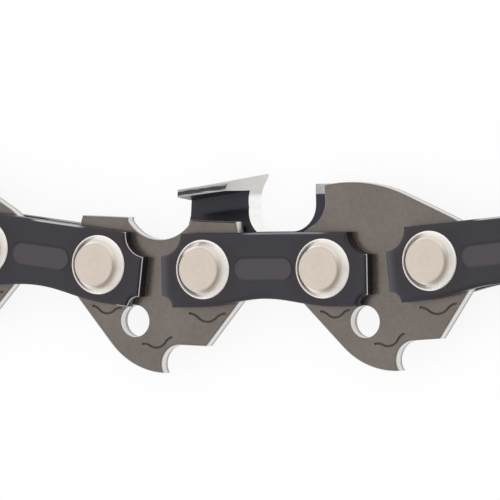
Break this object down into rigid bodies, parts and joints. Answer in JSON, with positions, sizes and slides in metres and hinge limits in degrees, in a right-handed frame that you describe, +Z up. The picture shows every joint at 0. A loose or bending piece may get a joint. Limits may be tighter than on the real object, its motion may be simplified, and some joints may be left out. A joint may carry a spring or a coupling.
{
  "type": "chainsaw chain loop",
  "caption": "Closed loop of low-profile saw chain lying on its side: drive links with inward tangs pivot on rivets between tie straps and left and right cutters by turns.",
  "frame": {"origin": "on the surface that the chain lies on, below the middle of the loop", "axes": "+X along the loop's longer side, in the direction that the run at +Y travels; +Y outwards from that run; +Z up, along the rivets"},
  "size_m": [0.2178, 0.1092, 0.0055],
  "materials": {
    "drive_link_steel": "satin grey-brown stamped steel",
    "tie_strap_steel": "blue-black oxide plates with pale nickel-coloured rivet heads",
    "cutter_steel": "blue-black oxide plates, plated tooth with bright ground faces, pale rivet heads"
  },
  "bodies": {
    "left_cutter_link_01": {"left_cutter_link_01": "cutter_steel"},
    "bumper_drive_link_01": {"bumper_drive_link_01": "drive_link_steel"},
    "tie_strap_link_01": {"tie_strap_link_01": "tie_strap_steel"},
    "plain_drive_link_01": {"plain_drive_link_01": "drive_link_steel"},
    "right_cutter_link_02": {"right_cutter_link_02": "cutter_steel"},
    "bumper_drive_link_02": {"bumper_drive_link_02": "drive_link_steel"},
    "tie_strap_link_02": {"tie_strap_link_02": "tie_strap_steel"},
    "plain_drive_link_02": {"plain_drive_link_02": "drive_link_steel"},
    "left_cutter_link_03": {"left_cutter_link_03": "cutter_steel"},
    "bumper_drive_link_03": {"bumper_drive_link_03": "drive_link_steel"},
    "tie_strap_link_03": {"tie_strap_link_03": "tie_strap_steel"},
    "plain_drive_link_03": {"plain_drive_link_03": "drive_link_steel"},
    "right_cutter_link_04": {"right_cutter_link_04": "cutter_steel"},
    "bumper_drive_link_04": {"bumper_drive_link_04": "drive_link_steel"},
    "tie_strap_link_04": {"tie_strap_link_04": "tie_strap_steel"},
    "plain_drive_link_04": {"plain_drive_link_04": "drive_link_steel"},
    "left_cutter_link_05": {"left_cutter_link_05": "cutter_steel"},
    "bumper_drive_link_05": {"bumper_drive_link_05": "drive_link_steel"},
    "tie_strap_link_05": {"tie_strap_link_05": "tie_strap_steel"},
    "plain_drive_link_05": {"plain_drive_link_05": "drive_link_steel"},
    "right_cutter_link_06": {"right_cutter_link_06": "cutter_steel"},
    "bumper_drive_link_06": {"bumper_drive_link_06": "drive_link_steel"},
    "tie_strap_link_06": {"tie_strap_link_06": "tie_strap_steel"},
    "plain_drive_link_06": {"plain_drive_link_06": "drive_link_steel"},
    "left_cutter_link_07": {"left_cutter_link_07": "cutter_steel"},
    "bumper_drive_link_07": {"bumper_drive_link_07": "drive_link_steel"},
    "tie_strap_link_07": {"tie_strap_link_07": "tie_strap_steel"},
    "plain_drive_link_07": {"plain_drive_link_07": "drive_link_steel"},
    "right_cutter_link_08": {"right_cutter_link_08": "cutter_steel"},
    "bumper_drive_link_08": {"bumper_drive_link_08": "drive_link_steel"},
    "tie_strap_link_08": {"tie_strap_link_08": "tie_strap_steel"},
    "plain_drive_link_08": {"plain_drive_link_08": "drive_link_steel"},
    "left_cutter_link_09": {"left_cutter_link_09": "cutter_steel"},
    "bumper_drive_link_09": {"bumper_drive_link_09": "drive_link_steel"},
    "tie_strap_link_09": {"tie_strap_link_09": "tie_strap_steel"},
    "plain_drive_link_09": {"plain_drive_link_09": "drive_link_steel"},
    "right_cutter_link_10": {"right_cutter_link_10": "cutter_steel"},
    "bumper_drive_link_10": {"bumper_drive_link_10": "drive_link_steel"},
    "tie_strap_link_10": {"tie_strap_link_10": "tie_strap_steel"},
    "plain_drive_link_10": {"plain_drive_link_10": "drive_link_steel"},
    "left_cutter_link_11": {"left_cutter_link_11": "cutter_steel"},
    "bumper_drive_link_11": {"bumper_drive_link_11": "drive_link_steel"},
    "tie_strap_link_11": {"tie_strap_link_11": "tie_strap_steel"},
    "plain_drive_link_11": {"plain_drive_link_11": "drive_link_steel"},
    "right_cutter_link_12": {"right_cutter_link_12": "cutter_steel"},
    "bumper_drive_link_12": {"bumper_drive_link_12": "drive_link_steel"},
    "tie_strap_link_12": {"tie_strap_link_12": "tie_strap_steel"},
    "plain_drive_link_12": {"plain_drive_link_12": "drive_link_steel"},
    "left_cutter_link_13": {"left_cutter_link_13": "cutter_steel"},
    "bumper_drive_link_13": {"bumper_drive_link_13": "drive_link_steel"},
    "tie_strap_link_13": {"tie_strap_link_13": "tie_strap_steel"},
    "plain_drive_link_13": {"plain_drive_link_13": "drive_link_steel"},
    "right_cutter_link_14": {"right_cutter_link_14": "cutter_steel"},
    "bumper_drive_link_14": {"bumper_drive_link_14": "drive_link_steel"},
    "tie_strap_link_14": {"tie_strap_link_14": "tie_strap_steel"},
    "plain_drive_link_14": {"plain_drive_link_14": "drive_link_steel"}
  },
  "joints": [
    {"name": "rivet_pivot_01", "type": "hinge", "parent": "left_cutter_link_01", "child": "bumper_drive_link_01", "pos_m": [0.00598, 0.04495, 0.00275], "axis": [0, 0, 1], "range_deg": [-20, 20]},
    {"name": "rivet_pivot_02", "type": "hinge", "parent": "bumper_drive_link_01", "child": "tie_strap_link_01", "pos_m": [0.01469, 0.04545, 0.00275], "axis": [0, 0, 1], "range_deg": [-20, 20]},
    {"name": "rivet_pivot_03", "type": "hinge", "parent": "tie_strap_link_01", "child": "plain_drive_link_01", "pos_m": [0.02454, 0.04635, 0.00275], "axis": [0, 0, 1], "range_deg": [-20, 20]},
    {"name": "rivet_pivot_04", "type": "hinge", "parent": "plain_drive_link_01", "child": "right_cutter_link_02", "pos_m": [0.03327, 0.04669, 0.00275], "axis": [0, 0, 1], "range_deg": [-20, 20]},
    {"name": "rivet_pivot_05", "type": "hinge", "parent": "right_cutter_link_02", "child": "bumper_drive_link_02", "pos_m": [0.04316, 0.04655, 0.00275], "axis": [0, 0, 1], "range_deg": [-20, 20]},
    {"name": "rivet_pivot_06", "type": "hinge", "parent": "bumper_drive_link_02", "child": "tie_strap_link_02", "pos_m": [0.05187, 0.04597, 0.00275], "axis": [0, 0, 1], "range_deg": [-20, 20]},
    {"name": "rivet_pivot_07", "type": "hinge", "parent": "tie_strap_link_02", "child": "plain_drive_link_02", "pos_m": [0.06169, 0.0448, 0.00275], "axis": [0, 0, 1], "range_deg": [-20, 20]},
    {"name": "rivet_pivot_08", "type": "hinge", "parent": "plain_drive_link_02", "child": "left_cutter_link_03", "pos_m": [0.07029, 0.04331, 0.00275], "axis": [0, 0, 1], "range_deg": [-20, 20]},
    {"name": "rivet_pivot_09", "type": "hinge", "parent": "left_cutter_link_03", "child": "bumper_drive_link_03", "pos_m": [0.07949, 0.0397, 0.00275], "axis": [0, 0, 1], "range_deg": [-20, 20]},
    {"name": "rivet_pivot_10", "type": "hinge", "parent": "bumper_drive_link_03", "child": "tie_strap_link_03", "pos_m": [0.08681, 0.03493, 0.00275], "axis": [0, 0, 1], "range_deg": [-20, 20]},
    {"name": "rivet_pivot_11", "type": "hinge", "parent": "tie_strap_link_03", "child": "plain_drive_link_03", "pos_m": [0.09384, 0.02797, 0.00275], "axis": [0, 0, 1], "range_deg": [-20, 20]},
    {"name": "rivet_pivot_12", "type": "hinge", "parent": "plain_drive_link_03", "child": "right_cutter_link_04", "pos_m": [0.09867, 0.0207, 0.00275], "axis": [0, 0, 1], "range_deg": [-20, 20]},
    {"name": "rivet_pivot_13", "type": "hinge", "parent": "right_cutter_link_04", "child": "bumper_drive_link_04", "pos_m": [0.10237, 0.01153, 0.00275], "axis": [0, 0, 1], "range_deg": [-20, 20]},
    {"name": "rivet_pivot_14", "type": "hinge", "parent": "bumper_drive_link_04", "child": "tie_strap_link_04", "pos_m": [0.10394, 0.00294, 0.00275], "axis": [0, 0, 1], "range_deg": [-20, 20]},
    {"name": "rivet_pivot_15", "type": "hinge", "parent": "tie_strap_link_04", "child": "plain_drive_link_04", "pos_m": [0.10372, -0.00694, 0.00275], "axis": [0, 0, 1], "range_deg": [-20, 20]},
    {"name": "rivet_pivot_16", "type": "hinge", "parent": "plain_drive_link_04", "child": "left_cutter_link_05", "pos_m": [0.10176, -0.01545, 0.00275], "axis": [0, 0, 1], "range_deg": [-20, 20]},
    {"name": "rivet_pivot_17", "type": "hinge", "parent": "left_cutter_link_05", "child": "bumper_drive_link_05", "pos_m": [0.09765, -0.02445, 0.00275], "axis": [0, 0, 1], "range_deg": [-20, 20]},
    {"name": "rivet_pivot_18", "type": "hinge", "parent": "bumper_drive_link_05", "child": "tie_strap_link_05", "pos_m": [0.09249, -0.03149, 0.00275], "axis": [0, 0, 1], "range_deg": [-20, 20]},
    {"name": "rivet_pivot_19", "type": "hinge", "parent": "tie_strap_link_05", "child": "plain_drive_link_05", "pos_m": [0.08515, -0.03812, 0.00275], "axis": [0, 0, 1], "range_deg": [-20, 20]},
    {"name": "rivet_pivot_20", "type": "hinge", "parent": "plain_drive_link_05", "child": "right_cutter_link_06", "pos_m": [0.07763, -0.04255, 0.00275], "axis": [0, 0, 1], "range_deg": [-20, 20]},
    {"name": "rivet_pivot_21", "type": "hinge", "parent": "right_cutter_link_06", "child": "bumper_drive_link_06", "pos_m": [0.06827, -0.04575, 0.00275], "axis": [0, 0, 1], "range_deg": [-20, 20]},
    {"name": "rivet_pivot_22", "type": "hinge", "parent": "bumper_drive_link_06", "child": "tie_strap_link_06", "pos_m": [0.05961, -0.04684, 0.00275], "axis": [0, 0, 1], "range_deg": [-20, 20]},
    {"name": "rivet_pivot_23", "type": "hinge", "parent": "tie_strap_link_06", "child": "plain_drive_link_06", "pos_m": [0.04974, -0.04756, 0.00275], "axis": [0, 0, 1], "range_deg": [-20, 20]},
    {"name": "rivet_pivot_24", "type": "hinge", "parent": "plain_drive_link_06", "child": "left_cutter_link_07", "pos_m": [0.04102, -0.04775, 0.00275], "axis": [0, 0, 1], "range_deg": [-20, 20]},
    {"name": "rivet_pivot_25", "type": "hinge", "parent": "left_cutter_link_07", "child": "bumper_drive_link_07", "pos_m": [0.03113, -0.04744, 0.00275], "axis": [0, 0, 1], "range_deg": [-20, 20]},
    {"name": "rivet_pivot_26", "type": "hinge", "parent": "bumper_drive_link_07", "child": "tie_strap_link_07", "pos_m": [0.02243, -0.04671, 0.00275], "axis": [0, 0, 1], "range_deg": [-20, 20]},
    {"name": "rivet_pivot_27", "type": "hinge", "parent": "tie_strap_link_07", "child": "plain_drive_link_07", "pos_m": [0.01263, -0.04536, 0.00275], "axis": [0, 0, 1], "range_deg": [-20, 20]},
    {"name": "rivet_pivot_28", "type": "hinge", "parent": "plain_drive_link_07", "child": "right_cutter_link_08", "pos_m": [0.00391, -0.04495, 0.00275], "axis": [0, 0, 1], "range_deg": [-20, 20]},
    {"name": "rivet_pivot_00", "type": "hinge", "parent": "left_cutter_link_01", "child": "plain_drive_link_14", "pos_m": [-0.00391, 0.04495, 0.00275], "axis": [0, 0, 1], "range_deg": [-20, 20]},
    {"name": "rivet_pivot_55", "type": "hinge", "parent": "plain_drive_link_14", "child": "tie_strap_link_14", "pos_m": [-0.01263, 0.04536, 0.00275], "axis": [0, 0, 1], "range_deg": [-20, 20]},
    {"name": "rivet_pivot_54", "type": "hinge", "parent": "tie_strap_link_14", "child": "bumper_drive_link_14", "pos_m": [-0.02243, 0.04671, 0.00275], "axis": [0, 0, 1], "range_deg": [-20, 20]},
    {"name": "rivet_pivot_53", "type": "hinge", "parent": "bumper_drive_link_14", "child": "right_cutter_link_14", "pos_m": [-0.03113, 0.04744, 0.00275], "axis": [0, 0, 1], "range_deg": [-20, 20]},
    {"name": "rivet_pivot_52", "type": "hinge", "parent": "right_cutter_link_14", "child": "plain_drive_link_13", "pos_m": [-0.04102, 0.04775, 0.00275], "axis": [0, 0, 1], "range_deg": [-20, 20]},
    {"name": "rivet_pivot_51", "type": "hinge", "parent": "plain_drive_link_13", "child": "tie_strap_link_13", "pos_m": [-0.04974, 0.04756, 0.00275], "axis": [0, 0, 1], "range_deg": [-20, 20]},
    {"name": "rivet_pivot_50", "type": "hinge", "parent": "tie_strap_link_13", "child": "bumper_drive_link_13", "pos_m": [-0.05961, 0.04684, 0.00275], "axis": [0, 0, 1], "range_deg": [-20, 20]},
    {"name": "rivet_pivot_49", "type": "hinge", "parent": "bumper_drive_link_13", "child": "left_cutter_link_13", "pos_m": [-0.06827, 0.04575, 0.00275], "axis": [0, 0, 1], "range_deg": [-20, 20]},
    {"name": "rivet_pivot_48", "type": "hinge", "parent": "left_cutter_link_13", "child": "plain_drive_link_12", "pos_m": [-0.07763, 0.04255, 0.00275], "axis": [0, 0, 1], "range_deg": [-20, 20]},
    {"name": "rivet_pivot_47", "type": "hinge", "parent": "plain_drive_link_12", "child": "tie_strap_link_12", "pos_m": [-0.08515, 0.03812, 0.00275], "axis": [0, 0, 1], "range_deg": [-20, 20]},
    {"name": "rivet_pivot_46", "type": "hinge", "parent": "tie_strap_link_12", "child": "bumper_drive_link_12", "pos_m": [-0.09249, 0.03149, 0.00275], "axis": [0, 0, 1], "range_deg": [-20, 20]},
    {"name": "rivet_pivot_45", "type": "hinge", "parent": "bumper_drive_link_12", "child": "right_cutter_link_12", "pos_m": [-0.09765, 0.02445, 0.00275], "axis": [0, 0, 1], "range_deg": [-20, 20]},
    {"name": "rivet_pivot_44", "type": "hinge", "parent": "right_cutter_link_12", "child": "plain_drive_link_11", "pos_m": [-0.10176, 0.01545, 0.00275], "axis": [0, 0, 1], "range_deg": [-20, 20]},
    {"name": "rivet_pivot_43", "type": "hinge", "parent": "plain_drive_link_11", "child": "tie_strap_link_11", "pos_m": [-0.10372, 0.00694, 0.00275], "axis": [0, 0, 1], "range_deg": [-20, 20]},
    {"name": "rivet_pivot_42", "type": "hinge", "parent": "tie_strap_link_11", "child": "bumper_drive_link_11", "pos_m": [-0.10394, -0.00294, 0.00275], "axis": [0, 0, 1], "range_deg": [-20, 20]},
    {"name": "rivet_pivot_41", "type": "hinge", "parent": "bumper_drive_link_11", "child": "left_cutter_link_11", "pos_m": [-0.10237, -0.01153, 0.00275], "axis": [0, 0, 1], "range_deg": [-20, 20]},
    {"name": "rivet_pivot_40", "type": "hinge", "parent": "left_cutter_link_11", "child": "plain_drive_link_10", "pos_m": [-0.09867, -0.0207, 0.00275], "axis": [0, 0, 1], "range_deg": [-20, 20]},
    {"name": "rivet_pivot_39", "type": "hinge", "parent": "plain_drive_link_10", "child": "tie_strap_link_10", "pos_m": [-0.09384, -0.02797, 0.00275], "axis": [0, 0, 1], "range_deg": [-20, 20]},
    {"name": "rivet_pivot_38", "type": "hinge", "parent": "tie_strap_link_10", "child": "bumper_drive_link_10", "pos_m": [-0.08681, -0.03493, 0.00275], "axis": [0, 0, 1], "range_deg": [-20, 20]},
    {"name": "rivet_pivot_37", "type": "hinge", "parent": "bumper_drive_link_10", "child": "right_cutter_link_10", "pos_m": [-0.07949, -0.0397, 0.00275], "axis": [0, 0, 1], "range_deg": [-20, 20]},
    {"name": "rivet_pivot_36", "type": "hinge", "parent": "right_cutter_link_10", "child": "plain_drive_link_09", "pos_m": [-0.07029, -0.04331, 0.00275], "axis": [0, 0, 1], "range_deg": [-20, 20]},
    {"name": "rivet_pivot_35", "type": "hinge", "parent": "plain_drive_link_09", "child": "tie_strap_link_09", "pos_m": [-0.06169, -0.0448, 0.00275], "axis": [0, 0, 1], "range_deg": [-20, 20]},
    {"name": "rivet_pivot_34", "type": "hinge", "parent": "tie_strap_link_09", "child": "bumper_drive_link_09", "pos_m": [-0.05187, -0.04597, 0.00275], "axis": [0, 0, 1], "range_deg": [-20, 20]},
    {"name": "rivet_pivot_33", "type": "hinge", "parent": "bumper_drive_link_09", "child": "left_cutter_link_09", "pos_m": [-0.04316, -0.04655, 0.00275], "axis": [0, 0, 1], "range_deg": [-20, 20]},
    {"name": "rivet_pivot_32", "type": "hinge", "parent": "left_cutter_link_09", "child": "plain_drive_link_08", "pos_m": [-0.03327, -0.04669, 0.00275], "axis": [0, 0, 1], "range_deg": [-20, 20]},
    {"name": "rivet_pivot_31", "type": "hinge", "parent": "plain_drive_link_08", "child": "tie_strap_link_08", "pos_m": [-0.02454, -0.04635, 0.00275], "axis": [0, 0, 1], "range_deg": [-20, 20]},
    {"name": "rivet_pivot_30", "type": "hinge", "parent": "tie_strap_link_08", "child": "bumper_drive_link_08", "pos_m": [-0.01469, -0.04545, 0.00275], "axis": [0, 0, 1], "range_deg": [-20, 20]}
  ],
  "couplings": [
    {"joint": "rivet_pivot_02", "follows": "rivet_pivot_01", "ratio": -1},
    {"joint": "rivet_pivot_30", "follows": "rivet_pivot_01", "ratio": 1},
    {"joint": "rivet_pivot_04", "follows": "rivet_pivot_03", "ratio": -1},
    {"joint": "rivet_pivot_32", "follows": "rivet_pivot_03", "ratio": 1},
    {"joint": "rivet_pivot_31", "follows": "rivet_pivot_03", "ratio": -1},
    {"joint": "rivet_pivot_06", "follows": "rivet_pivot_05", "ratio": -1},
    {"joint": "rivet_pivot_34", "follows": "rivet_pivot_05", "ratio": 1},
    {"joint": "rivet_pivot_33", "follows": "rivet_pivot_05", "ratio": -1},
    {"joint": "rivet_pivot_08", "follows": "rivet_pivot_07", "ratio": -1},
    {"joint": "rivet_pivot_36", "follows": "rivet_pivot_07", "ratio": 1},
    {"joint": "rivet_pivot_35", "follows": "rivet_pivot_07", "ratio": -1},
    {"joint": "rivet_pivot_10", "follows": "rivet_pivot_09", "ratio": -1},
    {"joint": "rivet_pivot_38", "follows": "rivet_pivot_09", "ratio": 1},
    {"joint": "rivet_pivot_37", "follows": "rivet_pivot_09", "ratio": -1},
    {"joint": "rivet_pivot_12", "follows": "rivet_pivot_11", "ratio": -1},
    {"joint": "rivet_pivot_40", "follows": "rivet_pivot_11", "ratio": 1},
    {"joint": "rivet_pivot_39", "follows": "rivet_pivot_11", "ratio": -1},
    {"joint": "rivet_pivot_14", "follows": "rivet_pivot_13", "ratio": -1},
    {"joint": "rivet_pivot_42", "follows": "rivet_pivot_13", "ratio": 1},
    {"joint": "rivet_pivot_41", "follows": "rivet_pivot_13", "ratio": -1},
    {"joint": "rivet_pivot_16", "follows": "rivet_pivot_15", "ratio": -1},
    {"joint": "rivet_pivot_44", "follows": "rivet_pivot_15", "ratio": 1},
    {"joint": "rivet_pivot_43", "follows": "rivet_pivot_15", "ratio": -1},
    {"joint": "rivet_pivot_18", "follows": "rivet_pivot_17", "ratio": -1},
    {"joint": "rivet_pivot_46", "follows": "rivet_pivot_17", "ratio": 1},
    {"joint": "rivet_pivot_45", "follows": "rivet_pivot_17", "ratio": -1},
    {"joint": "rivet_pivot_20", "follows": "rivet_pivot_19", "ratio": -1},
    {"joint": "rivet_pivot_48", "follows": "rivet_pivot_19", "ratio": 1},
    {"joint": "rivet_pivot_47", "follows": "rivet_pivot_19", "ratio": -1},
    {"joint": "rivet_pivot_22", "follows": "rivet_pivot_21", "ratio": -1},
    {"joint": "rivet_pivot_50", "follows": "rivet_pivot_21", "ratio": 1},
    {"joint": "rivet_pivot_49", "follows": "rivet_pivot_21", "ratio": -1},
    {"joint": "rivet_pivot_24", "follows": "rivet_pivot_23", "ratio": -1},
    {"joint": "rivet_pivot_52", "follows": "rivet_pivot_23", "ratio": 1},
    {"joint": "rivet_pivot_51", "follows": "rivet_pivot_23", "ratio": -1},
    {"joint": "rivet_pivot_26", "follows": "rivet_pivot_25", "ratio": -1},
    {"joint": "rivet_pivot_54", "follows": "rivet_pivot_25", "ratio": 1},
    {"joint": "rivet_pivot_53", "follows": "rivet_pivot_25", "ratio": -1},
    {"joint": "rivet_pivot_28", "follows": "rivet_pivot_27", "ratio": -1},
    {"joint": "rivet_pivot_00", "follows": "rivet_pivot_27", "ratio": 1},
    {"joint": "rivet_pivot_55", "follows": "rivet_pivot_27", "ratio": -1}
  ]
}
